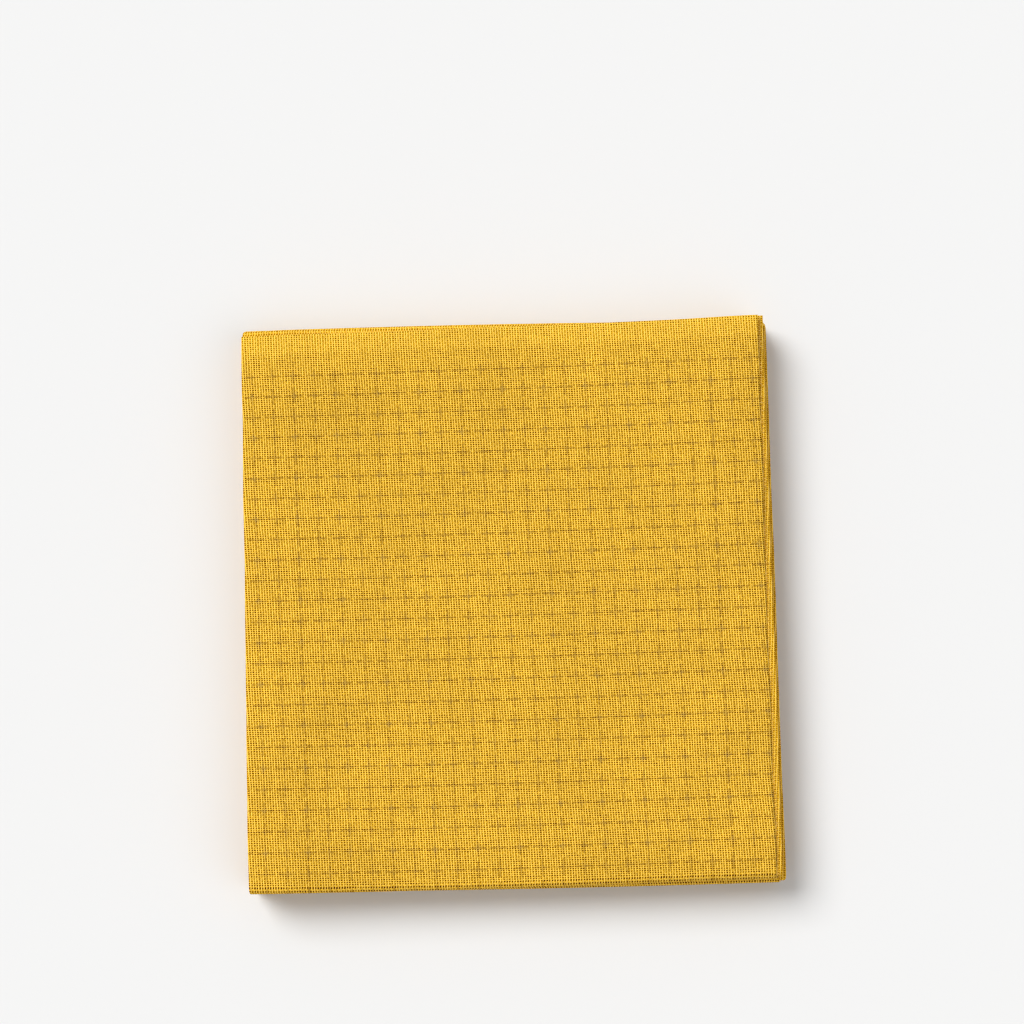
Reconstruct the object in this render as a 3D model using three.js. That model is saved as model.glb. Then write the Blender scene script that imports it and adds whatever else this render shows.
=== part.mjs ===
// A cut length of plain-woven cotton, printed for stitching, folded flat.
// Millimetres, +Z up. The packet lies on its underside, with the origin at the middle of it.
// X runs along the warp and Y from selvedge to selvedge.
//
// The cloth is first folded across its warp into a band of four plies,
// then the band is folded back and forth into eight layers. The solid is that band:
// one section of its eight layers, run from one side of the packet to the other.

import * as THREE from "three";
import { mergeVertices } from "three/addons/utils/BufferGeometryUtils.js";

// The cloth as it is cut
const clothLength = 1080;
const clothWidth = 500;
const clothThickness = 0.4;

// How it is folded
const pliesInBand = 4;
const layerCount = 8;

// The band and the packet, worked out from the cloth and its folds
const packetWidth = clothWidth / pliesInBand;
const packetLength = clothLength / layerCount;
const layerPitch = pliesInBand * clothThickness;
const layerGap = 0.3;
const layerThickness = layerPitch - layerGap;

// A fold turns round the middle of the gap between its two layers
const foldInnerRadius = layerGap / 2;
const foldOuterRadius = foldInnerRadius + layerThickness;

// How finely the section and its sides are cut
const spansAlongLayer = 10;
const spansAcrossPacket = 10;
const spansInOuterFold = 8;
const spansInInnerFold = 3;
const sideRounding = 0.4;
const sideRoundingSpans = 2;

// Where each fold lies, from the bottom up. The first and last rows are the band's two ends.
// reach: how far it runs past the packet's side, slant: how much further on the right
// than on the left, bow: how far its middle stands out past its two ends.
const folds = [
  { place: "lower selvedge", reach: -2.2, slant: 1.4, bow: -0.5 },
  { place: "first fold", reach: -0.5, slant: 0.5, bow: 0.3 },
  { place: "second fold", reach: -0.3, slant: -0.9, bow: 0.4 },
  { place: "third fold", reach: -1.0, slant: -0.6, bow: 0.5 },
  { place: "fourth fold", reach: -0.9, slant: 0.7, bow: 0.3 },
  { place: "fifth fold", reach: -0.3, slant: 0.6, bow: 0.4 },
  { place: "sixth fold", reach: -1.3, slant: -0.5, bow: 0.5 },
  { place: "seventh fold", reach: -0.6, slant: -0.8, bow: 0.4 },
  { place: "upper selvedge", reach: -1.6, slant: 1.0, bow: -0.4 },
];

// How far each layer has slipped to the right of the packet's middle, from the bottom up
const layers = [
  { place: "lowest layer", slip: 0.1 },
  { place: "second layer", slip: 0.5 },
  { place: "third layer", slip: -0.4 },
  { place: "fourth layer", slip: -0.6 },
  { place: "fifth layer", slip: 0.3 },
  { place: "sixth layer", slip: 0.6 },
  { place: "seventh layer", slip: -0.2 },
  { place: "top layer", slip: -0.3 },
];

// How much thicker the packet is than its layers laid flat, as a share of its height.
// Folds are bulky, so a ridge runs a little way inside each folded side.
const foldRidges = [
  { side: "front", along: "y", place: -57, spread: 9, swell: 0.055 },
  { side: "back", along: "y", place: 55, spread: 10, swell: 0.03 },
  { side: "left", along: "x", place: -52, spread: 9, swell: 0.035 },
  { side: "right", along: "x", place: 54, spread: 8, swell: 0.02 },
];

// Shallow waves that the soft layers keep, in the same share
const waves = [
  { alongX: 1.1, alongY: 0.7, start: 0.6, swell: 0.012 },
  { alongX: -0.8, alongY: 1.6, start: 2.1, swell: 0.009 },
];

// The packet thins out towards its rim, most at the corners
const rimDroop = 0.06;
const rimSharpness = 8;

// Printed cotton, mustard yellow
const mustard = new THREE.MeshStandardMaterial({
  color: 0xd8a632,
  roughness: 0.95,
  metalness: 0,
});

// Which way a layer runs: the first one goes from the back to the front
const directionOf = (layer) => (layer % 2 === 0 ? -1 : 1);

// Points of a half turn round a fold, seen in the section as x = packet's length, y = height
function turnRoundFold(side, height, radius, spans) {
  const centre = side * (packetLength / 2 - foldOuterRadius);
  const points = [];
  for (let i = 0; i <= spans; i += 1) {
    const angle = (i / spans - 0.5) * Math.PI;
    points.push(new THREE.Vector2(centre + side * radius * Math.cos(angle), height + radius * Math.sin(angle)));
  }
  return points;
}

// A place from -1 to 1 moved outwards, so that even spans come closer together near the edges
const closerAtEdges = (place) => Math.sin((place * Math.PI) / 2);

// Points along one face of a layer, short of both its folds
function runAlongLayer(height, direction) {
  const reach = packetLength / 2 - foldOuterRadius;
  const points = [];
  for (let i = 1; i < spansAlongLayer; i += 1) {
    points.push(new THREE.Vector2(direction * reach * closerAtEdges((2 * i) / spansAlongLayer - 1), height));
  }
  return points;
}

// The outline of the whole folded band: up along one face of it and back along the other
function bandOutline() {
  const endPlace = packetLength / 2;
  const top = (layerCount - 1) * layerPitch + layerThickness;
  const upwards = [new THREE.Vector2(endPlace, 0)];
  const downwards = [new THREE.Vector2(endPlace, layerThickness)];
  for (let layer = 0; layer < layerCount; layer += 1) {
    const direction = directionOf(layer);
    const bottom = layer * layerPitch;
    const lowerFaceLeads = direction === -1;
    const leading = lowerFaceLeads ? bottom : bottom + layerThickness;
    const trailing = lowerFaceLeads ? bottom + layerThickness : bottom;
    upwards.push(...runAlongLayer(leading, direction));
    downwards.push(...runAlongLayer(trailing, direction));
    if (layer < layerCount - 1) {
      const foldHeight = bottom + layerThickness + layerGap / 2;
      const outer = turnRoundFold(direction, foldHeight, foldOuterRadius, spansInOuterFold);
      const inner = turnRoundFold(direction, foldHeight, foldInnerRadius, spansInInnerFold);
      upwards.push(...(lowerFaceLeads ? outer : inner));
      downwards.push(...(lowerFaceLeads ? inner : outer));
    }
  }
  upwards.push(new THREE.Vector2(endPlace, top));
  downwards.push(new THREE.Vector2(endPlace, top - layerThickness));
  return new THREE.Shape([...upwards, ...downwards.reverse()]);
}

// How far a fold or an end has moved out, at a place across the packet
function foldShift(fold, x) {
  const across = x / (packetWidth / 2);
  return fold.reach + (fold.slant * across) / 2 + fold.bow * (1 - across * across);
}

// Brings the spans across the packet closer together near its sides, short of their rounding
function spaceAcross(x) {
  const reach = packetWidth / 2 - sideRounding;
  return Math.abs(x) < reach ? reach * closerAtEdges(x / reach) : x;
}

// Moves a point of the square-cut band to where the loosely folded one has it
function settle(point) {
  const layer = Math.min(Math.floor((point.z + layerGap / 2) / layerPitch), layerCount - 1);
  const [backFold, frontFold] = layer % 2 === 0 ? [layer, layer + 1] : [layer + 1, layer];
  const straight = packetLength / 2 - foldOuterRadius;
  const towardsBack = THREE.MathUtils.clamp((point.y + straight) / (2 * straight), 0, 1);
  const back = foldShift(folds[backFold], point.x);
  const front = -foldShift(folds[frontFold], point.x);
  const y = point.y + THREE.MathUtils.lerp(front, back, towardsBack);

  const level = THREE.MathUtils.clamp((point.z - layerThickness / 2) / layerPitch, 0, layerCount - 1);
  const below = Math.floor(level);
  const above = Math.min(below + 1, layerCount - 1);
  const x = point.x + THREE.MathUtils.lerp(layers[below].slip, layers[above].slip, level - below);

  return new THREE.Vector3(x, y, point.z * thicknessAt(point.x, point.y));
}

// The packet's height at a place, against that of its layers laid flat
function thicknessAt(x, y) {
  let thickness = 1;
  for (const ridge of foldRidges) {
    const away = ((ridge.along === "x" ? x : y) - ridge.place) / ridge.spread;
    thickness += ridge.swell * Math.exp(-away * away);
  }
  for (const wave of waves) {
    const turn = wave.start + 2 * Math.PI * ((wave.alongX * x) / packetWidth + (wave.alongY * y) / packetLength);
    thickness += wave.swell * Math.sin(turn);
  }
  const sideways = Math.abs(x / (packetWidth / 2)) ** rimSharpness;
  const lengthways = Math.abs(y / (packetLength / 2)) ** rimSharpness;
  return thickness - rimDroop * (sideways + lengthways);
}

function foldedCloth() {
  const band = new THREE.ExtrudeGeometry(bandOutline(), {
    depth: packetWidth - 2 * sideRounding,
    steps: spansAcrossPacket,
    bevelEnabled: true,
    bevelThickness: sideRounding,
    bevelSize: sideRounding,
    bevelOffset: -sideRounding,
    bevelSegments: sideRoundingSpans,
  });
  // The section is drawn lying down: its x becomes the packet's Y and its y the height
  band.translate(0, 0, sideRounding - packetWidth / 2);
  band.applyMatrix4(new THREE.Matrix4().makeBasis(
    new THREE.Vector3(0, 1, 0),
    new THREE.Vector3(0, 0, 1),
    new THREE.Vector3(1, 0, 0),
  ));
  band.deleteAttribute("uv");
  band.deleteAttribute("normal");
  const geometry = mergeVertices(band, 1e-4);
  const places = geometry.getAttribute("position");
  const point = new THREE.Vector3();
  for (let i = 0; i < places.count; i += 1) {
    point.fromBufferAttribute(places, i);
    point.x = spaceAcross(point.x);
    places.setXYZ(i, ...settle(point).toArray());
  }
  // The packet's middle is put over the origin
  geometry.computeBoundingBox();
  const middle = geometry.boundingBox.getCenter(new THREE.Vector3());
  geometry.translate(-middle.x, -middle.y, 0);
  geometry.computeVertexNormals();
  const mesh = new THREE.Mesh(geometry, mustard);
  mesh.name = "folded_cloth";
  return mesh;
}

const packet = new THREE.Group();
packet.add(foldedCloth());

export default packet;
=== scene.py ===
# A cut length of plain-woven cotton, printed with a stitching guide, folded flat.
# Metres, +Z up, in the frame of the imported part.
import math
import random
from bisect import bisect_left
from collections import namedtuple

import bpy
from mathutils import Matrix, Vector, noise


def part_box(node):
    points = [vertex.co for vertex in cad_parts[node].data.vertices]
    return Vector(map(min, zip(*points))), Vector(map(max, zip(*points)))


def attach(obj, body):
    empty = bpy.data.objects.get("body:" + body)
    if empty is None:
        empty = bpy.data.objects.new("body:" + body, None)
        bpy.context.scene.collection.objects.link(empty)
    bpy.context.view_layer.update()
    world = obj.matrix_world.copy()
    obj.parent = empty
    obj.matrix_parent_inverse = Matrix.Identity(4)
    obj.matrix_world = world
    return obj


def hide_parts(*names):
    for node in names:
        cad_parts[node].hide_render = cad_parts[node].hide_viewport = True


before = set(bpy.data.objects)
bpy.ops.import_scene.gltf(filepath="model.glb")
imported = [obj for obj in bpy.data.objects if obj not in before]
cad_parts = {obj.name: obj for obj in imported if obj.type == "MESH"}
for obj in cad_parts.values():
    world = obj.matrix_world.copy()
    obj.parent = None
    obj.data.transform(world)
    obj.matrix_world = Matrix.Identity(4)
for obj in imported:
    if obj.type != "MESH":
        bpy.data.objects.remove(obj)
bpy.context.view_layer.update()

MM = 0.001
NODE = "folded_cloth"

# The cloth as it is cut: from selvedge to selvedge, and from cut edge to cut edge along the warp
CLOTH_LENGTH = 1080 * MM
CLOTH_WIDTH = 500 * MM
CLOTH_THICKNESS = 0.32 * MM

# How it is folded: four plies make a band, and the band lies in eight layers
PLIES = 4
LAYERS = 8
PLY_PITCH = 0.4 * MM
LAYER_PITCH = PLIES * PLY_PITCH
PACKET_WIDTH = CLOTH_WIDTH / PLIES
PACKET_LENGTH = CLOTH_LENGTH / LAYERS
SIDE_MARGIN = 0.36 * MM

# How finely the sheet is cut: the top ply is the one that shows
SPANS_ALONG_TOP = 96
SPANS_ALONG_BOTTOM = 24
SPANS_ALONG_INNER = 16
SPANS_ACROSS_OUTER = 88
SPANS_ACROSS_INNER = 16
SPANS_ROUND_LAYER_FOLD = 8
SPANS_ROUND_PLY_FOLD = 6
EDGE_CROWDING = 0.6

# Where each fold of the band lies, from the bottom up: the first and last rows are its two ends.
# reach: how far it runs past the packet's side, slant: how much further on the right
# than on the left, bow: how far its middle stands out past its two ends. All in mm.
Fold = namedtuple("Fold", "place reach slant bow")
FOLDS = [
    Fold("lower selvedge", -2.2, 1.4, -0.5),
    Fold("first fold", -0.5, 0.5, 0.3),
    Fold("second fold", -0.3, -0.9, 0.4),
    Fold("third fold", -1.0, -0.6, 0.5),
    Fold("fourth fold", -0.9, 0.7, 0.3),
    Fold("fifth fold", -0.3, 0.6, 0.4),
    Fold("sixth fold", -1.3, -0.5, 0.5),
    Fold("seventh fold", -0.6, -0.8, 0.4),
    Fold("upper selvedge", -1.6, 1.0, -0.4),
]

# How far each layer has slipped to the right, from the bottom up, in mm
LAYER_SLIPS = [0.1, 0.5, -0.4, -0.6, 0.3, 0.6, -0.2, -0.3]

# Ridges a little way inside the folded sides, as a share of the packet's height
Ridge = namedtuple("Ridge", "side axis place spread swell")
RIDGES = [
    Ridge("front", "y", -57, 9, 0.055),
    Ridge("back", "y", 55, 10, 0.03),
    Ridge("left", "x", -52, 9, 0.035),
    Ridge("right", "x", 54, 8, 0.02),
]

# Shallow waves that the soft layers keep, in the same share
Wave = namedtuple("Wave", "across_turns along_turns start swell")
WAVES = [
    Wave(1.1, 0.7, 0.6, 0.012),
    Wave(-0.8, 1.6, 2.1, 0.009),
]
RIM_DROOP = 0.06
RIM_SHARPNESS = 8

# The plies don't end quite level. How far each lengthwise edge of a ply runs past the others at
# the band's two ends, from the outer cut edge, through the three folds, to the inner cut edge.
PLY_ENDS = [0.4, -0.7, 0.5, -1.1, 0.1]

# How far the two cut edges stop short of the fold beside them, in mm, and how much they stray
CUT_EDGE_SHORTFALLS = (1.3, 0.7)
CUT_EDGE_STRAY = 0.55
FOLD_STRAY = 0.3

# Soft troughs and ridges pressed into the upper plies, from handling. All in mm: where each starts
# and ends on the face, how wide its slopes are, and how far its middle lies above the face.
Crease = namedtuple("Crease", "place start end width rise")
CREASES = [
    Crease("across the front left corner", (-60, -44), (-38, -66), 3.2, -0.34),
    Crease("beside it", (-55, -40), (-33, -61), 2.4, 0.16),
    Crease("in from the left side", (-64, 31), (-37, 24), 3.0, -0.24),
    Crease("in from the back", (21, 66), (13, 38), 3.4, -0.28),
    Crease("beside it, towards the right", (28, 65), (20, 44), 2.8, 0.15),
    Crease("along the right side", (52, 44), (55, -36), 2.6, -0.18),
    Crease("short one by the front right corner", (37, -62), (57, -50), 2.6, -0.22),
]
CREASE_FADE = 9.0
CREASE_REACH = 3.5

# Where the uppermost ply stands off the ones below: middle, spread and rise, in mm
Lift = namedtuple("Lift", "place middle spread rise")
LIFTS = [
    Lift("back right corner, free both ways", (62, 66), 11, 1.1),
    Lift("middle of the selvedge", (-12, 68), 16, 0.45),
    Lift("cut edge, behind its middle", (63, 22), 9, 0.5),
    Lift("cut edge, near the front", (63, -34), 8, 0.4),
]

# It does so from this line backwards, and fully so a little further on. The ply below follows in part.
LIFT_START = -30 * MM
LIFT_FADE = 40 * MM
LIFTED_PLIES = 1.5


def mix(a, b, share):
    return a + (b - a) * share


def clamp(value, low=0.0, high=1.0):
    return max(low, min(high, value))


def crowded(spans):
    """Places from 0 to 1, closer together near both ends."""
    places = []
    for step in range(spans + 1):
        even = 2 * step / spans - 1
        places.append((even + EDGE_CROWDING * math.sin(math.pi * even) / math.pi + 1) / 2)
    return places


def half_turn(spans):
    """Angles of the points inside a half turn, from below its middle to above it."""
    return [math.pi * (step / spans - 0.5) for step in range(1, spans)]


# The sheet in its folds

Along = namedtuple("Along", "flat y z lean_y lean_z layer")
Across = namedtuple("Across", "flat x height left right")


def stations_along():
    """The band's middle line from its lower selvedge to its upper one, through all its layers."""
    straight = PACKET_LENGTH / 2 - LAYER_PITCH
    radius = LAYER_PITCH / 2
    stations = []
    flat = 0.0
    for layer in range(LAYERS):
        way = -1 if layer % 2 == 0 else 1
        start = -way * (PACKET_LENGTH / 2 if layer == 0 else straight)
        end = way * (PACKET_LENGTH / 2 if layer == LAYERS - 1 else straight)
        spans = {0: SPANS_ALONG_BOTTOM, LAYERS - 1: SPANS_ALONG_TOP}.get(layer, SPANS_ALONG_INNER)
        height = (layer + 0.5) * LAYER_PITCH
        for place in crowded(spans):
            distance = abs(end - start) * place
            stations.append(Along(flat + distance, mix(start, end, place), height, 0.0, -way, layer))
        flat += abs(end - start)
        if layer < LAYERS - 1:
            for angle in half_turn(SPANS_ROUND_LAYER_FOLD):
                out, up = way * math.cos(angle), math.sin(angle)
                y = way * straight + radius * out
                z = (layer + 1) * LAYER_PITCH + radius * up
                run = flat + radius * (angle + math.pi / 2)
                stations.append(Along(run, y, z, way * out, way * up, layer))
            flat += math.pi * radius
    return stations


# The cloth's length as it lies, with its folds cutting their corners a little
LAID_LENGTH = stations_along()[-1].flat


def stations_across():
    """The band's section from one cut edge to the other, through its plies."""
    radius = PLY_PITCH / 2
    straight = PACKET_WIDTH / 2 - SIDE_MARGIN - radius
    stations = []
    flat = 0.0
    for ply in range(PLIES):
        way = -1 if ply % 2 == 0 else 1
        start = -way * (PACKET_WIDTH / 2 - SIDE_MARGIN if ply == 0 else straight)
        end = way * (PACKET_WIDTH / 2 - SIDE_MARGIN if ply == PLIES - 1 else straight)
        left, right = (ply + 1, ply) if way == -1 else (ply, ply + 1)
        spans = SPANS_ACROSS_OUTER if ply == 0 else SPANS_ACROSS_INNER
        for place in crowded(spans):
            distance = abs(end - start) * place
            height = (ply + 0.5) * PLY_PITCH
            stations.append(Across(flat + distance, mix(start, end, place), height, left, right))
        flat += abs(end - start)
        if ply < PLIES - 1:
            for angle in half_turn(SPANS_ROUND_PLY_FOLD):
                x = way * (straight + radius * math.cos(angle))
                height = (ply + 1) * PLY_PITCH + radius * math.sin(angle)
                run = flat + radius * (angle + math.pi / 2)
                stations.append(Across(run, x, height, ply + 1, ply + 1))
            flat += math.pi * radius
    return stations


def fold_shift(fold, x):
    """How far a fold or an end of the band has moved out, at a place across the packet."""
    across = x / (PACKET_WIDTH / 2)
    return (fold.reach + fold.slant * across / 2 + fold.bow * (1 - across * across)) * MM


def wander(edge, run):
    """How far a ply's fold or cut edge strays to the right, on its way along the band."""
    stray = noise.noise(Vector((run / (24 * MM), edge * 5.3, 0.7)))
    if edge == 0:
        return (CUT_EDGE_STRAY * stray - CUT_EDGE_SHORTFALLS[0]) * MM
    if edge == PLIES:
        return (CUT_EDGE_STRAY * stray - CUT_EDGE_SHORTFALLS[1]) * MM
    return FOLD_STRAY * stray * MM


def end_shift(along, across):
    """How much further a ply runs at the band's two ends than the ply beside it."""
    edge = clamp(across.flat / PACKET_WIDTH, 0, PLIES - 0.001)
    before = int(edge)
    past = mix(PLY_ENDS[before], PLY_ENDS[before + 1], edge - before) * MM
    backwards = clamp(along.y / (PACKET_LENGTH / 2))
    return past * backwards if along.layer in (0, LAYERS - 1) else 0.0


def smooth(share):
    share = clamp(share)
    return share * share * (3 - 2 * share)


def crease_rise(x, y):
    """How far the creases raise or lower the packet's face at a place."""
    rise = 0.0
    point = Vector((x, y)) / MM
    for crease in CREASES:
        start, end = Vector(crease.start), Vector(crease.end)
        run = end - start
        length = run.length
        ahead = (point - start).dot(run) / length
        aside = (point - start).dot(Vector((-run.y, run.x))) / length
        fade = smooth(ahead / CREASE_FADE + 1) * smooth((length - ahead) / CREASE_FADE)
        rise += crease.rise * math.exp(-((aside / crease.width) ** 2)) * fade
    return rise * MM


def lift_off(x, y):
    """How far the uppermost ply stands off the ones below it at a place."""
    rise = 0.0
    for lift in LIFTS:
        away = (Vector((x, y)) / MM - Vector(lift.middle)).length / lift.spread
        rise += lift.rise * math.exp(-away * away)
    return rise * MM


def thickness_at(x, y):
    """The packet's height at a place, against that of its layers laid flat."""
    share = 1.0
    for ridge in RIDGES:
        away = ((x if ridge.axis == "x" else y) / MM - ridge.place) / ridge.spread
        share += ridge.swell * math.exp(-away * away)
    for wave in WAVES:
        turn = wave.across_turns * x / PACKET_WIDTH + wave.along_turns * y / PACKET_LENGTH
        share += wave.swell * math.sin(wave.start + 2 * math.pi * turn)
    sideways = abs(x / (PACKET_WIDTH / 2)) ** RIM_SHARPNESS
    lengthways = abs(y / (PACKET_LENGTH / 2)) ** RIM_SHARPNESS
    return share - RIM_DROOP * (sideways + lengthways)


def folded_place(along, across):
    """Where a point of the sheet lies in the packet."""
    lift = across.height - LAYER_PITCH / 2
    y = along.y + along.lean_y * lift
    z = along.z + along.lean_z * lift
    x = across.x

    sideways = clamp((x / (PACKET_WIDTH / 2 - SIDE_MARGIN) + 1) / 2)
    strayed = x + mix(wander(across.left, along.flat), wander(across.right, along.flat), sideways)

    back, front = along.layer, along.layer + 1
    if along.layer % 2 == 1:
        back, front = front, back
    straight = PACKET_LENGTH / 2 - LAYER_PITCH
    backwards = clamp((y / straight + 1) / 2)
    shift = mix(-fold_shift(FOLDS[front], x), fold_shift(FOLDS[back], x), backwards)

    level = clamp(z / LAYER_PITCH - 0.5, 0, LAYERS - 1)
    below = int(level)
    above = min(below + 1, LAYERS - 1)
    slip = mix(LAYER_SLIPS[below], LAYER_SLIPS[above], level - below) * MM

    # Creases press into the upper plies, and only the uppermost two stand off the rest
    height = z * thickness_at(x, y)
    height += crease_rise(x, y) * (z / (LAYERS * LAYER_PITCH)) ** CREASE_REACH
    if along.layer == LAYERS - 1:
        ply = across.flat / PACKET_WIDTH
        share = clamp(LIFTED_PLIES - ply) ** 2 * clamp((y - LIFT_START) / LIFT_FADE)
        height += lift_off(x, y) * share

    return Vector((strayed + slip, y + shift + end_shift(along, across), height))


def select_only(piece):
    bpy.ops.object.select_all(action="DESELECT")
    piece.select_set(True)
    bpy.context.view_layer.objects.active = piece


# The map that the finished colours are laid out on when the cloth is exported. What shows gets the
# most room on it. The weights say how much a length of flat cloth gets: in each ply, from the outer
# one inwards, in each layer, from the bottom up, and close to the folds between them.
BAKE_MAP = "OFBake"
PLY_WEIGHTS = [6.0, 0.16, 0.16, 0.5]
PLY_FOLD_WEIGHT = 6.0
WRONG_SIDE_PLY_WEIGHTS = [0.3, 0.03, 0.03, 0.03]
WRONG_SIDE_FOLD_WEIGHT = 3.0
LAYER_WEIGHTS = [0.6] + [0.06] * (LAYERS - 2) + [6.0]
LAYER_FOLD_WEIGHT = 3.0
FOLD_SHOULDER = 1.0 * MM
FOLD_SHOULDER_SHARE = 0.01

# The printed face fills the map's left part. The wrong side, and one strip for each of the sheet's
# four rims, lie side by side on the right.
PRINTED_SLOT, WRONG_SIDE_SLOT = 0, 1
FACE_SHARE = 0.9
WRONG_SIDE_START = 0.91
WRONG_SIDE_SHARE = 0.05
RIM_START = 0.968
RIM_STEP = 0.008
RIM_WIDTH = 0.005
MAP_NEAR = 1e-6


def laid_out(flats, weights, fold_weight):
    """Places from 0 to 1 for a row of stations, with more room for what weighs more."""
    length = flats[-1] / len(weights)
    places = [0.0]
    for before, after in zip(flats, flats[1:]):
        middle = (before + after) / 2
        stretch = min(int(middle / length), len(weights) - 1)
        to_fold = min(abs(middle - length * fold) for fold in range(1, len(weights)))
        near_fold = to_fold < FOLD_SHOULDER + length * FOLD_SHOULDER_SHARE
        weight = max(weights[stretch], fold_weight) if near_fold else weights[stretch]
        places.append(places[-1] + (after - before) * weight)
    return [place / places[-1] for place in places]


def spread_bake_map(mesh, across_places, wrong_side_places):
    """Gives the wrong side and the cut edges their own places beside the printed face."""
    bake_map = mesh.uv_layers[BAKE_MAP].data
    second_side = len(mesh.vertices) // 2
    for face in mesh.polygons:
        places = [Vector(bake_map[index].uv) for index in face.loop_indices]
        on_outer_cut_edge = all(place.x < MAP_NEAR for place in places)
        on_inner_cut_edge = all(place.x > 1 - MAP_NEAR for place in places)
        on_lower_selvedge = all(place.y < MAP_NEAR for place in places)
        strip = [on_outer_cut_edge, on_inner_cut_edge, on_lower_selvedge, True].index(True)
        for index, place in zip(face.loop_indices, places):
            if face.material_index == PRINTED_SLOT:
                place.x *= FACE_SHARE
            elif face.material_index == WRONG_SIDE_SLOT:
                column = bisect_left(across_places, place.x - MAP_NEAR)
                place.x = WRONG_SIDE_START + WRONG_SIDE_SHARE * wrong_side_places[column]
            else:
                onward = place.y if strip < 2 else place.x
                beyond = RIM_WIDTH if mesh.loops[index].vertex_index >= second_side else 0.0
                place.x, place.y = RIM_START + RIM_STEP * strip + beyond, onward
            bake_map[index].uv = place


def make_folded_sheet(materials):
    """The whole cloth as one sheet, laid in its folds, with its flat place kept as its UV map."""
    along = stations_along()
    across = stations_across()
    bpy.ops.object.select_all(action="DESELECT")
    bpy.ops.mesh.primitive_grid_add(
        x_subdivisions=len(across) - 1, y_subdivisions=len(along) - 1, size=1, calc_uvs=True)
    piece = bpy.context.object
    piece.name = "sashiko_cloth"
    mesh = piece.data
    mesh.name = piece.name

    flats_across = [station.flat for station in across]
    across_places = laid_out(flats_across, PLY_WEIGHTS, PLY_FOLD_WEIGHT)
    wrong_side_places = laid_out(flats_across, WRONG_SIDE_PLY_WEIGHTS, WRONG_SIDE_FOLD_WEIGHT)
    along_places = laid_out([station.flat for station in along], LAYER_WEIGHTS, LAYER_FOLD_WEIGHT)
    flat_places = []
    bake_places = []
    for vertex in mesh.vertices:
        column = round((vertex.co.x + 0.5) * (len(across) - 1))
        row = round((vertex.co.y + 0.5) * (len(along) - 1))
        flat_places.append((CLOTH_WIDTH - across[column].flat, along[row].flat))
        bake_places.append((across_places[column], along_places[row]))
        vertex.co = folded_place(along[row], across[column])
    mesh.uv_layers.active.name = "UVMap"
    mesh.uv_layers.new(name=BAKE_MAP)
    for loop in mesh.loops:
        mesh.uv_layers["UVMap"].data[loop.index].uv = flat_places[loop.vertex_index]
        mesh.uv_layers[BAKE_MAP].data[loop.index].uv = bake_places[loop.vertex_index]
    mesh.flip_normals()
    mesh.shade_smooth()
    for material in materials:
        mesh.materials.append(material)

    # The sheet is put over the middle of the solid that it follows
    low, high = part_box(NODE)
    corners = [Vector(corner) for corner in piece.bound_box]
    middle = sum(corners, Vector()) / len(corners)
    offset = (low + high) / 2 - middle
    offset.z = 0
    for vertex in mesh.vertices:
        vertex.co += offset

    select_only(piece)
    solid = piece.modifiers.new("Cloth thickness", "SOLIDIFY")
    solid.thickness = CLOTH_THICKNESS
    solid.offset = 0
    solid.material_offset = 1
    solid.material_offset_rim = 2
    bpy.ops.object.modifier_apply(modifier=solid.name)
    spread_bake_map(piece.data, across_places, wrong_side_places)
    return piece, offset


# The yarn ends that stand out of the two cut edges

# One end is drawn one unit long. Each row is one stretch of it: how long, and how it narrows.
YARN_END_SIDES = 3
YARN_END_STRETCHES = [(0.45, 0.95), (0.35, 0.88), (0.2, 0.45)]
YARN_END_RADIUS = 0.1 * MM
YARN_END_ROOT = 0.5 * MM
YARN_END_REACH = (0.25 * MM, 1.05 * MM)
YARN_END_USUAL_REACH = 1.6
YARN_END_SWAY = 0.2 * MM
YARN_END_THICKNESS = (0.8, 1.15)
YARN_END_STEP = 0.04 * MM
YARN_END_SEED = 5

# On its map each end has a small square of its own, in rows
YARN_ENDS_IN_ROW = 65
YARN_END_CAP = ((0.2, 0), (0.9, 0), (0.55, 0.8))


def model_yarn_end():
    """One yarn end, with its tip a little drawn in."""
    bpy.ops.object.select_all(action="DESELECT")
    bpy.ops.mesh.primitive_circle_add(vertices=YARN_END_SIDES, radius=1, fill_type="NGON")
    piece = bpy.context.object
    bpy.ops.object.mode_set(mode="EDIT")
    bpy.ops.mesh.select_all(action="SELECT")
    for length, narrowing in YARN_END_STRETCHES:
        bpy.ops.mesh.extrude_region_move(TRANSFORM_OT_translate={"value": (0, 0, length)})
        bpy.ops.transform.resize(value=(narrowing, narrowing, 1))
    bpy.ops.mesh.select_all(action="SELECT")
    bpy.ops.mesh.normals_make_consistent(inside=False)
    bpy.ops.object.mode_set(mode="OBJECT")
    return piece


def cut_edge_spots(edge, inside):
    """Where each warp yarn leaves a cut edge, which way it runs out, and which way the edge runs."""
    along = stations_along()
    ends = [folded_place(station, edge) for station in along]
    starts = [folded_place(station, inside) for station in along]
    step = 0
    for yarn in range(int(LAID_LENGTH / WARP_SPACING)):
        flat = (yarn + 0.5) * WARP_SPACING
        while along[step + 1].flat < flat:
            step += 1
        share = (flat - along[step].flat) / (along[step + 1].flat - along[step].flat)
        place = ends[step].lerp(ends[step + 1], share)
        out = (place - starts[step].lerp(starts[step + 1], share)).normalized()
        yield yarn, place, out, (ends[step + 1] - ends[step]).normalized()


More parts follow.
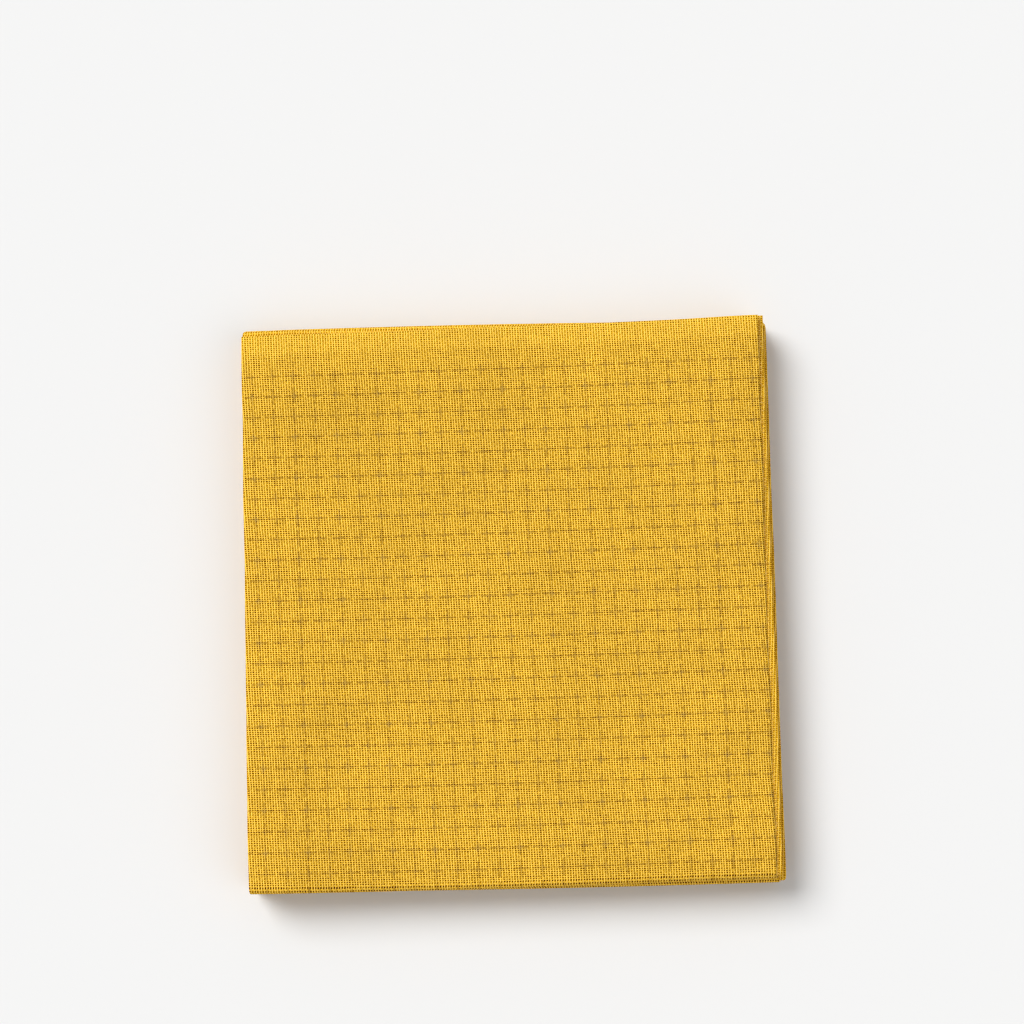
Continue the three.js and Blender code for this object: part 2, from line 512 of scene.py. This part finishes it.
def unrolled(model):
    """A yarn end's map: its sides are unrolled into three columns, with its two caps in a fourth."""
    row_tops = []
    for length, narrowing in YARN_END_STRETCHES[:-1]:
        row_tops.append(sum(row_tops[-1:]) + length)
    places = []
    for face in model.data.polygons:
        middle = face.center
        corners = [model.data.vertices[index].co for index in face.vertices]
        if len(corners) == YARN_END_SIDES:
            row = 0 if middle.z < 0.5 else 1
            places.append([(YARN_END_SIDES + right, row + up) for right, up in YARN_END_CAP])
            continue
        turn = math.atan2(middle.y, middle.x) % (2 * math.pi)
        side = int(turn / (2 * math.pi) * YARN_END_SIDES)
        row = sum(middle.z > top for top in row_tops)
        lefts = [middle.x * corner.y - middle.y * corner.x > 0 for corner in corners]
        uppers = [corner.z > middle.z for corner in corners]
        places.append([(side + left, row + upper) for left, upper in zip(lefts, uppers)])
    columns = YARN_END_SIDES + 1
    rows = len(YARN_END_STRETCHES)
    return [[(u / columns, v / rows) for u, v in face] for face in places]


def make_frayed_ends(offset, material):
    """The short ends of the warp yarns, all along both cut edges, as one mesh."""
    model = model_yarn_end()
    outline = [vertex.co.copy() for vertex in model.data.vertices]
    faces = [list(face.vertices) for face in model.data.polygons]
    end_map = [corner for face in unrolled(model) for corner in face]
    bpy.data.objects.remove(model)

    draw = random.Random(YARN_END_SEED)
    shortest, longest = YARN_END_REACH
    across = stations_across()
    places = []
    polygons = []
    bake_places = []
    for edge, inside in ((across[0], across[1]), (across[-1], across[-2])):
        for yarn, place, out, onward in cut_edge_spots(edge, inside):
            up = out.cross(onward)
            reach = draw.triangular(shortest, longest, shortest * YARN_END_USUAL_REACH)
            sway = draw.uniform(-YARN_END_SWAY, YARN_END_SWAY)
            thick = YARN_END_RADIUS * draw.uniform(*YARN_END_THICKNESS)
            level = YARN_END_STEP * (1 if yarn % 2 else -1)
            first = len(places)
            for point in outline:
                ahead = out * (point.z * (reach + YARN_END_ROOT) - YARN_END_ROOT)
                aside = onward * (point.x * thick + sway * point.z ** 2)
                raised = up * (point.y * thick + level)
                places.append(place + offset + ahead + aside + raised)
            polygons.extend([first + corner for corner in face] for face in faces)
            row, column = divmod(first // len(outline), YARN_ENDS_IN_ROW)
            for u, v in end_map:
                bake_places.append((column + FACE_SHARE * u) / YARN_ENDS_IN_ROW)
                bake_places.append((row + FACE_SHARE * v) / YARN_ENDS_IN_ROW)

    mesh = bpy.data.meshes.new("frayed_ends")
    mesh.from_pydata(places, [], polygons)
    mesh.uv_layers.new(name=BAKE_MAP).data.foreach_set("uv", bake_places)
    mesh.shade_smooth()
    mesh.materials.append(material)
    piece = bpy.data.objects.new("frayed_ends", mesh)
    bpy.context.collection.objects.link(piece)
    return piece


# Node helpers

# Noise seldom leaves this range
NOISE_RANGE = (0.3, 0.7)


def new_group(name, inputs, outputs):
    """An empty shader node group with its named inputs and outputs."""
    group = bpy.data.node_groups.new(name, "ShaderNodeTree")
    for socket, kind, value in inputs:
        made = group.interface.new_socket(socket, in_out="INPUT", socket_type=kind)
        if value is not None:
            made.default_value = value
    for socket, kind in outputs:
        group.interface.new_socket(socket, in_out="OUTPUT", socket_type=kind)
    return group, group.nodes.new("NodeGroupInput").outputs, group.nodes.new("NodeGroupOutput").inputs


def feed(tree, socket, value):
    """Links a socket to another one, or sets its value."""
    if isinstance(value, bpy.types.NodeSocket):
        tree.links.new(value, socket)
    else:
        socket.default_value = value


def calc(tree, operation, *values):
    """One Math node; returns its result."""
    node = tree.nodes.new("ShaderNodeMath")
    node.operation = operation
    for index, value in enumerate(values):
        feed(tree, node.inputs[index], value)
    return node.outputs[0]


def ramp(tree, value, low, high, to_low=0.0, to_high=1.0):
    """A smooth step of a value between two limits."""
    node = tree.nodes.new("ShaderNodeMapRange")
    node.interpolation_type = "SMOOTHSTEP"
    feed(tree, node.inputs["Value"], value)
    feed(tree, node.inputs["From Min"], low)
    feed(tree, node.inputs["From Max"], high)
    feed(tree, node.inputs["To Min"], to_low)
    feed(tree, node.inputs["To Max"], to_high)
    return node.outputs["Result"]


def split(tree, vector):
    node = tree.nodes.new("ShaderNodeSeparateXYZ")
    feed(tree, node.inputs[0], vector)
    return node.outputs[0], node.outputs[1]


def parts(tree, colour):
    """The three channels of a colour."""
    node = tree.nodes.new("ShaderNodeSeparateColor")
    feed(tree, node.inputs[0], colour)
    return node.outputs[0], node.outputs[1], node.outputs[2]


def join(tree, x, y):
    node = tree.nodes.new("ShaderNodeCombineXYZ")
    feed(tree, node.inputs[0], x)
    feed(tree, node.inputs[1], y)
    return node.outputs[0]


def grey(tree, value):
    """A grey of a value that varies over the surface."""
    node = tree.nodes.new("ShaderNodeCombineColor")
    for socket in node.inputs:
        feed(tree, socket, value)
    return node.outputs[0]


def grain(tree, vector, scale, detail=0.0):
    """Two-dimensional noise; returns its value and its colour."""
    node = tree.nodes.new("ShaderNodeTexNoise")
    node.noise_dimensions = "2D"
    feed(tree, node.inputs["Vector"], vector)
    node.inputs["Scale"].default_value = scale
    node.inputs["Detail"].default_value = detail
    return node.outputs["Fac"], node.outputs["Color"]


def blend_values(tree, factor, a, b):
    """One Mix node for plain values; returns its result."""
    node = tree.nodes.new("ShaderNodeMix")
    node.data_type = "FLOAT"
    feed(tree, node.inputs[0], factor)
    feed(tree, node.inputs[2], a)
    feed(tree, node.inputs[3], b)
    return node.outputs[0]


def blend(tree, kind, factor, a, b):
    """One colour Mix node; returns its colour."""
    node = tree.nodes.new("ShaderNodeMix")
    node.data_type = "RGBA"
    node.blend_type = kind
    feed(tree, node.inputs["Factor"], factor)
    feed(tree, node.inputs[6], a)
    feed(tree, node.inputs[7], b)
    return node.outputs[2]


# The weave

WEAVE_GROUP = "Plain weave"

# How the yarns wander together, and how each swells along its length, as noise over a metre
WANDER_SCALE = 16.0
SLOW_SCALE, QUICK_SCALE = 240.0, 1300.0
SLOW_SHARE, QUICK_SHARE = 0.4, 1.6

# Each yarn reads the noise at a place of its own
YARN_NOISE_STEP = 3.7
WARP_NOISE_START = 11.0
WEFT_NOISE_START = 57.0

# How high each set of yarns lies, and how much it rises where it lies over the other set
WARP_LEVEL, WARP_RISE = 0.561, 0.258
WEFT_LEVEL, WEFT_RISE = 0.857, 0.12


def make_weave_group():
    """Plain weave of slightly uneven yarns, from a flat place on the cloth."""
    group, given, out = new_group(
        WEAVE_GROUP,
        [
            ("Place", "NodeSocketVector", None),
            ("Warp spacing", "NodeSocketFloat", 0.0005),
            ("Weft spacing", "NodeSocketFloat", 0.0006),
            ("Warp slope", "NodeSocketFloat", 0.0),
            ("Weft slope", "NodeSocketFloat", 0.0),
            ("Warp width", "NodeSocketFloat", 0.7),
            ("Weft width", "NodeSocketFloat", 0.7),
            ("Waviness", "NodeSocketFloat", 0.0),
            ("Unevenness", "NodeSocketFloat", 0.1),
            ("Twist", "NodeSocketFloat", 0.0),
            ("Skew", "NodeSocketFloat", 0.0),
        ],
        [("Height", "NodeSocketFloat"), ("Tone", "NodeSocketFloat")],
    )
    place = given["Place"]
    x, y = split(group, place)

    # Both sets of yarns wave gently together, as cloth does that has been handled
    wave_x, wave_y = split(group, grain(group, place, WANDER_SCALE)[1])
    wave_x = calc(group, "MULTIPLY", calc(group, "SUBTRACT", wave_x, 0.5), given["Waviness"])
    wave_y = calc(group, "MULTIPLY", calc(group, "SUBTRACT", wave_y, 0.5), given["Waviness"])
    waved_x = calc(group, "ADD", x, wave_x)
    waved_y = calc(group, "ADD", y, wave_y)

    # Which yarn of each set a place is on, and how far from its middle
    sloped_y = calc(group, "SUBTRACT", waved_y, calc(group, "MULTIPLY", x, given["Warp slope"]))
    sloped_x = calc(group, "ADD", waved_x, calc(group, "MULTIPLY", y, given["Weft slope"]))
    warp = calc(group, "DIVIDE", sloped_y, given["Warp spacing"])
    weft = calc(group, "DIVIDE", sloped_x, given["Weft spacing"])
    warp_yarn = calc(group, "FLOOR", warp)
    weft_yarn = calc(group, "FLOOR", weft)
    off_warp = calc(group, "SUBTRACT", calc(group, "FRACT", warp), 0.5)
    off_weft = calc(group, "SUBTRACT", calc(group, "FRACT", weft), 0.5)

    def yarn(off, number, along, shift, width):
        """A yarn's rounded section: it strays, and runs thick and thin. Also its own tone."""
        lane = calc(group, "MULTIPLY_ADD", number, YARN_NOISE_STEP, shift)
        slow = grain(group, join(group, calc(group, "MULTIPLY", along, SLOW_SCALE), lane), 1.0)[1]
        quick = grain(group, join(group, calc(group, "MULTIPLY", along, QUICK_SCALE), lane), 1.0)[0]
        stray, swell, tone = parts(group, slow)
        stray = calc(group, "MULTIPLY", calc(group, "SUBTRACT", stray, 0.5), given["Unevenness"])
        swell = calc(group, "MULTIPLY", swell, SLOW_SHARE)
        swell = calc(group, "ADD", swell, calc(group, "MULTIPLY", quick, QUICK_SHARE))
        swell = calc(group, "MULTIPLY_ADD", calc(group, "SUBTRACT", swell, 1.0), given["Unevenness"], width)
        ratio = calc(group, "DIVIDE", calc(group, "ADD", off, stray), swell)
        square = calc(group, "MULTIPLY", ratio, ratio)
        section = calc(group, "SUBTRACT", 1.0, calc(group, "MULTIPLY", square, 4.0))
        return calc(group, "MAXIMUM", section, 0.0), tone

    def crest(number, other, off, lean):
        """From 1, where a yarn lies on one side of the other set, to -1 on its other side."""
        sign = calc(group, "MULTIPLY_ADD", calc(group, "FLOORED_MODULO", number, 2.0), -2.0, 1.0)
        # Its crests lean with the yarn's twist
        leant = calc(group, "MULTIPLY_ADD", calc(group, "MULTIPLY", off, given["Twist"]), lean, other)
        return calc(group, "MULTIPLY", calc(group, "SINE", calc(group, "MULTIPLY", leant, math.pi)), sign)

    warp_section, warp_tone = yarn(off_warp, warp_yarn, x, WARP_NOISE_START, given["Warp width"])
    weft_section, weft_tone = yarn(off_weft, weft_yarn, y, WEFT_NOISE_START, given["Weft width"])
    warp_crest = crest(warp_yarn, weft, off_warp, 1.0)
    weft_crest = crest(weft_yarn, warp, off_weft, -1.0)
    warp_level = calc(group, "MULTIPLY_ADD", warp_crest, WARP_RISE, WARP_LEVEL)
    weft_level = calc(group, "MULTIPLY_ADD", weft_crest, -WEFT_RISE, WEFT_LEVEL)
    warp_height = calc(group, "MULTIPLY", warp_section, warp_level)
    weft_height = calc(group, "MULTIPLY", weft_section, weft_level)
    warp_over = calc(group, "GREATER_THAN", warp_height, weft_height)

    # The twist also pulls the pores a little out of square
    turn_across = calc(group, "SINE", calc(group, "MULTIPLY", off_weft, 2 * math.pi))
    turn_along = calc(group, "SINE", calc(group, "MULTIPLY", off_warp, 2 * math.pi))
    pull = calc(group, "MULTIPLY", calc(group, "MULTIPLY", turn_across, turn_along), given["Skew"])
    uppermost = calc(group, "MAXIMUM", warp_height, weft_height)
    feed(group, out["Height"], calc(group, "SUBTRACT", uppermost, pull))
    feed(group, out["Tone"], blend_values(group, warp_over, weft_tone, warp_tone))
    return group


# The printed guide

PRINT_GROUP = "Stitching guide"

# The bars along the weft print a little weaker, and a crossing without a dot still has a small one
ALONG_BAR_SHARE = 0.82
PLAIN_CROSSING_MARK = 0.4
INK_GRAIN_SCALE = 1100.0
INK_TAKEN = (0.55, 1.2)


def make_print_group():
    """Small crosses at every crossing of a square grid, with a dot at every second one each way."""
    group, given, out = new_group(
        PRINT_GROUP,
        [
            ("Place", "NodeSocketVector", None),
            ("Spacing", "NodeSocketFloat", 0.005),
            ("Dot across", "NodeSocketFloat", 0.0),
            ("Dot along", "NodeSocketFloat", 0.0),
            ("Slope", "NodeSocketFloat", 0.0),
            ("Arm", "NodeSocketFloat", 0.002),
            ("Line width", "NodeSocketFloat", 0.0003),
            ("Softness", "NodeSocketFloat", 0.0001),
            ("Dot radius", "NodeSocketFloat", 0.001),
            ("Bold width", "NodeSocketFloat", 0.0006),
            ("Bold column", "NodeSocketFloat", 0.0),
            ("Bold repeat", "NodeSocketFloat", 20.0),
            ("Low margin", "NodeSocketFloat", 0.0),
            ("High margin", "NodeSocketFloat", 1.0),
        ],
        [("Lines", "NodeSocketFloat"), ("Marks", "NodeSocketFloat")],
    )
    x, y = split(group, given["Place"])
    sloped = calc(group, "ADD", x, calc(group, "MULTIPLY", y, given["Slope"]))
    across = calc(group, "DIVIDE", calc(group, "SUBTRACT", sloped, given["Dot across"]), given["Spacing"])
    along = calc(group, "DIVIDE", calc(group, "SUBTRACT", y, given["Dot along"]), given["Spacing"])
    column = calc(group, "ROUND", across)
    row = calc(group, "ROUND", along)
    off_x = calc(group, "MULTIPLY", calc(group, "SUBTRACT", across, column), given["Spacing"])
    off_y = calc(group, "MULTIPLY", calc(group, "SUBTRACT", along, row), given["Spacing"])
    off_x = calc(group, "ABSOLUTE", off_x)
    off_y = calc(group, "ABSOLUTE", off_y)

    def within(distance, reach):
        """1 within a reach of a line, fading out over the ink's soft edge."""
        inner = calc(group, "SUBTRACT", reach, given["Softness"])
        outer = calc(group, "ADD", reach, given["Softness"])
        return ramp(group, distance, inner, outer, 1.0, 0.0)

    def even(number):
        return calc(group, "SUBTRACT", 1.0, calc(group, "FLOORED_MODULO", number, 2.0))

    half_width = calc(group, "MULTIPLY", given["Line width"], 0.5)
    bar_across = calc(group, "MULTIPLY", within(off_y, half_width), within(off_x, given["Arm"]))
    from_bold = calc(group, "SUBTRACT", column, given["Bold column"])
    bold = calc(group, "LESS_THAN", calc(group, "FLOORED_MODULO", from_bold, given["Bold repeat"]), 0.5)
    half_bold = calc(group, "MULTIPLY", given["Bold width"], 0.5)
    half_width_there = blend_values(group, bold, half_width, half_bold)
    bar_along = calc(group, "MULTIPLY", within(off_x, half_width_there), within(off_y, given["Arm"]))
    square_y = calc(group, "MULTIPLY", off_y, off_y)
    from_crossing = calc(group, "SQRT", calc(group, "MULTIPLY_ADD", off_x, off_x, square_y))
    spot = ramp(group, from_crossing, 0.0, given["Dot radius"], 1.0, 0.0)
    dotted = calc(group, "MULTIPLY", even(column), even(row))
    strength = calc(group, "MULTIPLY_ADD", dotted, 1 - PLAIN_CROSSING_MARK, PLAIN_CROSSING_MARK)
    mark = calc(group, "MULTIPLY", spot, strength)

    # The ends of the cloth are left unprinted, and the ink takes unevenly on the yarns
    past_low = calc(group, "GREATER_THAN", y, given["Low margin"])
    inside = calc(group, "MULTIPLY", past_low, calc(group, "LESS_THAN", y, given["High margin"]))
    speckle = grain(group, given["Place"], INK_GRAIN_SCALE, 1.0)[0]
    taken = calc(group, "MULTIPLY", ramp(group, speckle, *NOISE_RANGE, *INK_TAKEN), inside)
    lines = calc(group, "MAXIMUM", bar_across, calc(group, "MULTIPLY", bar_along, ALONG_BAR_SHARE))
    feed(group, out["Lines"], calc(group, "MULTIPLY", lines, taken))
    feed(group, out["Marks"], calc(group, "MULTIPLY", mark, taken))
    return group


# The yarns' repeat and lie. The widths are shares of the spacing.
WARP_SPACING = 0.5152 * MM
WEFT_SPACING = 0.6253 * MM
WARP_SLOPE = -0.0069
WEFT_SLOPE = 0.0518
WARP_WIDTH = 0.753
WEFT_WIDTH = 0.606
YARN_WAVINESS = 0.5 * MM
YARN_UNEVENNESS = 0.26
YARN_TWIST = 1.22
PORE_SKEW = 0.093

# Close to the selvedges the weft turns back, and the yarns lie tight
SELVEDGE_WIDTH = 4 * MM
SELVEDGE_FADE = 1.5 * MM
SELVEDGE_CLOSENESS = 0.11

# The guide's repeat and marks
GRID_SPACING = 5 * MM
GRID_DOT = (3.685 * MM, 9.83 * MM)
GRID_SLOPE = 0.0147
GRID_ARM = 2.0 * MM
LINE_WIDTH = 0.40 * MM
INK_SOFTNESS = 0.13 * MM
DOT_RADIUS = 1.25 * MM
BOLD_WIDTH = 0.66 * MM
BOLD_COLUMN = 0
BOLD_REPEAT = 20
UNPRINTED_MARGIN = 9 * MM

# Colours, linear
# Painted highlight, where the yarns' crests stand highest
YARN_CREST_HIGHLIGHT = (1.0, 0.665, 0.165, 1)
YARN_TOP = (0.93, 0.549, 0.034, 1)
# Painted shade on the yarns' sides, where they fall away towards the pores
YARN_SIDE_SHADE = (0.60, 0.283, 0.0, 1)
# Painted shade in the pores, for the ply behind lying in shadow, lighter in the plies where they turn back
# on each other and the ply behind is close and lit
PORE_SHADE = (0.07, 0.012, 0.0, 1)
PORE_SHADE_IN_PLIES = (0.4, 0.17, 0.0, 1)
LINE_INK = (0.31, 0.145, 0.008, 1)
MARK_INK = (0.41, 0.29, 0.085, 1)
LINE_COVER = 0.57
MARK_COVER = 0.31

# The weave's heights between which the pores' painted shade, the painted shade on the yarns' sides, their
# tops and the painted highlight on their crests show
PORE_TO_SIDE = (0.0, 0.2)
SIDE_TO_TOP = (0.2, 0.72)
TOP_TO_CREST = (0.6, 1.05)
WEAVE_DEPTH = 0.13 * MM

# How much the yarns, and broad patches of the dye, differ in brightness
YARN_TONES = (0.93, 1.06)
YARN_TONE_RANGE = (0.25, 0.75)
PATCH_TONES = (0.97, 1.03)
PATCH_SCALE = 45.0

# Where the plies turn back on each other, measured from the start of the inner ones
TURN_BEFORE, TURN_AFTER = 0.5 * MM, 1.5 * MM

# The yarns that lie free of the weave
LOOSE_YARN_TONE_SCALE = 1500.0
FLUFF_SCALE = 7000.0
FLUFF_DEPTH = 0.05 * MM

COTTON_ROUGHNESS = 0.95
COTTON_SPECULAR = 0.05
COTTON_SHEEN = 0.015
SHEEN_ROUGHNESS = 0.6
WRONG_SIDE_INK = 0.35


def near_selvedge(tree, y):
    """1 on the selvedges, fading to 0 on the open cloth."""
    nearest = calc(tree, "MINIMUM", y, calc(tree, "SUBTRACT", LAID_LENGTH, y))
    return ramp(tree, nearest, SELVEDGE_WIDTH, SELVEDGE_WIDTH + SELVEDGE_FADE, 1.0, 0.0)


def make_cloth_material(name, ink_strength):
    """Matt cotton with its weave, its yarns' own tones and the printed guide."""
    material = bpy.data.materials.new(name)
    material.use_nodes = True
    tree = material.node_tree
    shader = tree.nodes["Principled BSDF"]
    shader.inputs["Roughness"].default_value = COTTON_ROUGHNESS
    shader.inputs["Specular IOR Level"].default_value = COTTON_SPECULAR
    shader.inputs["Sheen Weight"].default_value = COTTON_SHEEN
    shader.inputs["Sheen Roughness"].default_value = SHEEN_ROUGHNESS

    flat = tree.nodes.new("ShaderNodeUVMap")
    flat.uv_map = "UVMap"
    place = flat.outputs["UV"]
    across, along = split(tree, place)
    closeness = calc(tree, "MULTIPLY", near_selvedge(tree, along), SELVEDGE_CLOSENESS)

    weave = tree.nodes.new("ShaderNodeGroup")
    weave.node_tree = bpy.data.node_groups[WEAVE_GROUP]
    tree.links.new(place, weave.inputs["Place"])
    weave.inputs["Warp spacing"].default_value = WARP_SPACING
    weave.inputs["Weft spacing"].default_value = WEFT_SPACING
    weave.inputs["Warp slope"].default_value = WARP_SLOPE
    weave.inputs["Weft slope"].default_value = WEFT_SLOPE
    feed(tree, weave.inputs["Warp width"], calc(tree, "ADD", closeness, WARP_WIDTH))
    feed(tree, weave.inputs["Weft width"], calc(tree, "ADD", closeness, WEFT_WIDTH))
    weave.inputs["Waviness"].default_value = YARN_WAVINESS
    weave.inputs["Unevenness"].default_value = YARN_UNEVENNESS
    weave.inputs["Twist"].default_value = YARN_TWIST
    weave.inputs["Skew"].default_value = PORE_SKEW
    height = weave.outputs["Height"]

    guide = tree.nodes.new("ShaderNodeGroup")
    guide.node_tree = bpy.data.node_groups[PRINT_GROUP]
    tree.links.new(place, guide.inputs["Place"])
    guide.inputs["Spacing"].default_value = GRID_SPACING
    guide.inputs["Dot across"].default_value = GRID_DOT[0]
    guide.inputs["Dot along"].default_value = GRID_DOT[1]
    guide.inputs["Slope"].default_value = GRID_SLOPE
    guide.inputs["Arm"].default_value = GRID_ARM
    guide.inputs["Line width"].default_value = LINE_WIDTH
    guide.inputs["Softness"].default_value = INK_SOFTNESS
    guide.inputs["Dot radius"].default_value = DOT_RADIUS
    guide.inputs["Bold width"].default_value = BOLD_WIDTH
    guide.inputs["Bold column"].default_value = BOLD_COLUMN
    guide.inputs["Bold repeat"].default_value = BOLD_REPEAT
    guide.inputs["Low margin"].default_value = UNPRINTED_MARGIN
    guide.inputs["High margin"].default_value = LAID_LENGTH - UNPRINTED_MARGIN

    # The ink lies on the yarns. Painted shade darkens the yarns' sides and fills the pores between them,
    # and a painted highlight lightens their crests
    rounded = blend(tree, "MIX", ramp(tree, height, *SIDE_TO_TOP), YARN_SIDE_SHADE, YARN_TOP)
    yarn = blend(tree, "MIX", ramp(tree, height, *TOP_TO_CREST), rounded, YARN_CREST_HIGHLIGHT)
    tone = ramp(tree, weave.outputs["Tone"], *YARN_TONE_RANGE, *YARN_TONES)
    patches = ramp(tree, grain(tree, place, PATCH_SCALE, 3.0)[0], *NOISE_RANGE, *PATCH_TONES)
    toned = blend(tree, "MULTIPLY", 1.0, yarn, grey(tree, calc(tree, "MULTIPLY", tone, patches)))
    line_cover = calc(tree, "MULTIPLY", guide.outputs["Lines"], LINE_COVER * ink_strength)
    mark_cover = calc(tree, "MULTIPLY", guide.outputs["Marks"], MARK_COVER * ink_strength)
    lined = blend(tree, "MIX", line_cover, toned, LINE_INK)
    marked = blend(tree, "MIX", mark_cover, lined, MARK_INK)
    # Seen through a pore, the ply behind is close and lit, where the plies turn back on each other
    inner_plies = CLOTH_WIDTH - PACKET_WIDTH
    turned = ramp(tree, across, inner_plies - TURN_BEFORE, inner_plies + TURN_AFTER, 1.0, 0.0)
    pore = blend(tree, "MIX", turned, PORE_SHADE, PORE_SHADE_IN_PLIES)
    colour = blend(tree, "MIX", ramp(tree, height, *PORE_TO_SIDE), pore, marked)
    tree.links.new(colour, shader.inputs["Base Color"])

    bump = tree.nodes.new("ShaderNodeBump")
    bump.inputs["Strength"].default_value = 1.0
    bump.inputs["Distance"].default_value = WEAVE_DEPTH
    tree.links.new(height, bump.inputs["Height"])
    tree.links.new(bump.outputs["Normal"], shader.inputs["Normal"])
    return material


def make_loose_yarn_material():
    """The same cotton as in the cloth, on yarns that lie free."""
    material = bpy.data.materials.new("Loose yarn")
    material.use_nodes = True
    tree = material.node_tree
    shader = tree.nodes["Principled BSDF"]
    shader.inputs["Roughness"].default_value = COTTON_ROUGHNESS
    shader.inputs["Specular IOR Level"].default_value = COTTON_SPECULAR
    place = tree.nodes.new("ShaderNodeTexCoord").outputs["Object"]
    tone = ramp(tree, grain(tree, place, LOOSE_YARN_TONE_SCALE, 1.0)[0], *NOISE_RANGE)
    fluff = grain(tree, place, FLUFF_SCALE)[0]
    # Its colour varies at random between the cloth's painted side shade and painted crest highlight colours
    tree.links.new(blend(tree, "MIX", tone, YARN_SIDE_SHADE, YARN_CREST_HIGHLIGHT), shader.inputs["Base Color"])
    bump = tree.nodes.new("ShaderNodeBump")
    bump.inputs["Strength"].default_value = 0.5
    bump.inputs["Distance"].default_value = FLUFF_DEPTH
    tree.links.new(fluff, bump.inputs["Height"])
    tree.links.new(bump.outputs["Normal"], shader.inputs["Normal"])
    return material


# The floor, the light and the camera

FLOOR_SIZE = 3.0
FLOOR_COLOUR = (0.775, 0.775, 0.772, 1)
FLOOR_ROUGHNESS = 0.9
FLOOR_SPECULAR = 0.1
WALL_COLOUR = (0.919, 0.919, 0.914, 1)
ROOM_LIGHT = 0.42

# Far lights, the same all over the floor. The spread is how wide each looks from it, in degrees.
Light = namedtuple("Light", "name place spread strength")
LIGHTS = [
    Light("window light", (-0.75, 0.65, 1.1), 34.0, 2.77),
    Light("fill light", (0.9, -0.6, 1.2), 47.0, 0.48),
]

PIXEL_FILTER = 1.2
CAMERA_LENS = 100.0
CAMERA_SENSOR = 36.0
CAMERA_DISTANCE = 0.672
CAMERA_NEAR = 0.01
CAMERA_TILT = math.radians(7)
CAMERA_ROLL = math.radians(1.4)
VIEW_MIDDLE = Vector((0.94, 20.8, 13.0)) * MM


def make_floor():
    bpy.ops.object.select_all(action="DESELECT")
    bpy.ops.mesh.primitive_plane_add(size=FLOOR_SIZE, location=(0, 0, 0))
    floor = bpy.context.object
    floor.name = "floor"
    material = bpy.data.materials.new("Pale floor")
    material.use_nodes = True
    shader = material.node_tree.nodes["Principled BSDF"]
    shader.inputs["Base Color"].default_value = FLOOR_COLOUR
    shader.inputs["Roughness"].default_value = FLOOR_ROUGHNESS
    shader.inputs["Specular IOR Level"].default_value = FLOOR_SPECULAR
    floor.data.materials.append(material)


def aim(piece, target, up=Vector((0, 1, 0))):
    """Turns a light or the camera to look at a point, with a given direction upwards in its view."""
    back = (piece.location - target).normalized()
    right = up.cross(back).normalized()
    top = back.cross(right)
    turn = [[right[i], top[i], back[i]] for i in range(3)]
    piece.rotation_euler = Matrix(turn).to_euler()


def make_light(light):
    lamp = bpy.data.lights.new(light.name, "SUN")
    lamp.angle = math.radians(light.spread)
    lamp.energy = light.strength
    piece = bpy.data.objects.new(light.name, lamp)
    bpy.context.collection.objects.link(piece)
    piece.location = light.place
    aim(piece, Vector((0, 0, 0)))


def make_room():
    """The light from all round, and a pale wall past the floor, which only the camera sees."""
    world = bpy.data.worlds.new("Studio")
    bpy.context.scene.world = world
    world.use_nodes = True
    tree = world.node_tree
    room = tree.nodes["Background"]
    room.inputs["Color"].default_value = (1, 1, 1, 1)
    room.inputs["Strength"].default_value = ROOM_LIGHT
    wall = tree.nodes.new("ShaderNodeBackground")
    wall.inputs["Color"].default_value = WALL_COLOUR
    seen = tree.nodes.new("ShaderNodeMixShader")
    tree.links.new(tree.nodes.new("ShaderNodeLightPath").outputs["Is Camera Ray"], seen.inputs[0])
    tree.links.new(room.outputs[0], seen.inputs[1])
    tree.links.new(wall.outputs[0], seen.inputs[2])
    tree.links.new(seen.outputs[0], tree.nodes["World Output"].inputs["Surface"])


def set_picture():
    scene = bpy.context.scene
    scene.view_settings.view_transform = "Standard"
    # The pores are as small as the picture's pixels, so the noise filter's guide is left unsmoothed
    scene.cycles.denoising_prefilter = "NONE"
    scene.cycles.filter_width = PIXEL_FILTER


def make_camera():
    camera = bpy.data.cameras.new("camera")
    camera.lens = CAMERA_LENS
    camera.sensor_width = CAMERA_SENSOR
    camera.sensor_fit = "HORIZONTAL"
    camera.clip_start = CAMERA_NEAR
    piece = bpy.data.objects.new("camera", camera)
    bpy.context.collection.objects.link(piece)
    away = Vector((0, -math.sin(CAMERA_TILT), math.cos(CAMERA_TILT)))
    piece.location = VIEW_MIDDLE + CAMERA_DISTANCE * away
    aim(piece, VIEW_MIDDLE, Vector((math.sin(CAMERA_ROLL), math.cos(CAMERA_ROLL), 0)))
    bpy.context.scene.camera = piece


make_weave_group()
make_print_group()
printed = make_cloth_material("Printed face", 1.0)
plain = make_cloth_material("Wrong side", WRONG_SIDE_INK)
edge = make_cloth_material("Cut edge", 0.0)

cloth, cloth_offset = make_folded_sheet([printed, plain, edge])
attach(cloth, "root")
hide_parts(NODE)
frayed_ends = make_frayed_ends(cloth_offset, make_loose_yarn_material())
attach(frayed_ends, "root")

make_floor()
for light in LIGHTS:
    make_light(light)
make_room()
set_picture()
make_camera()
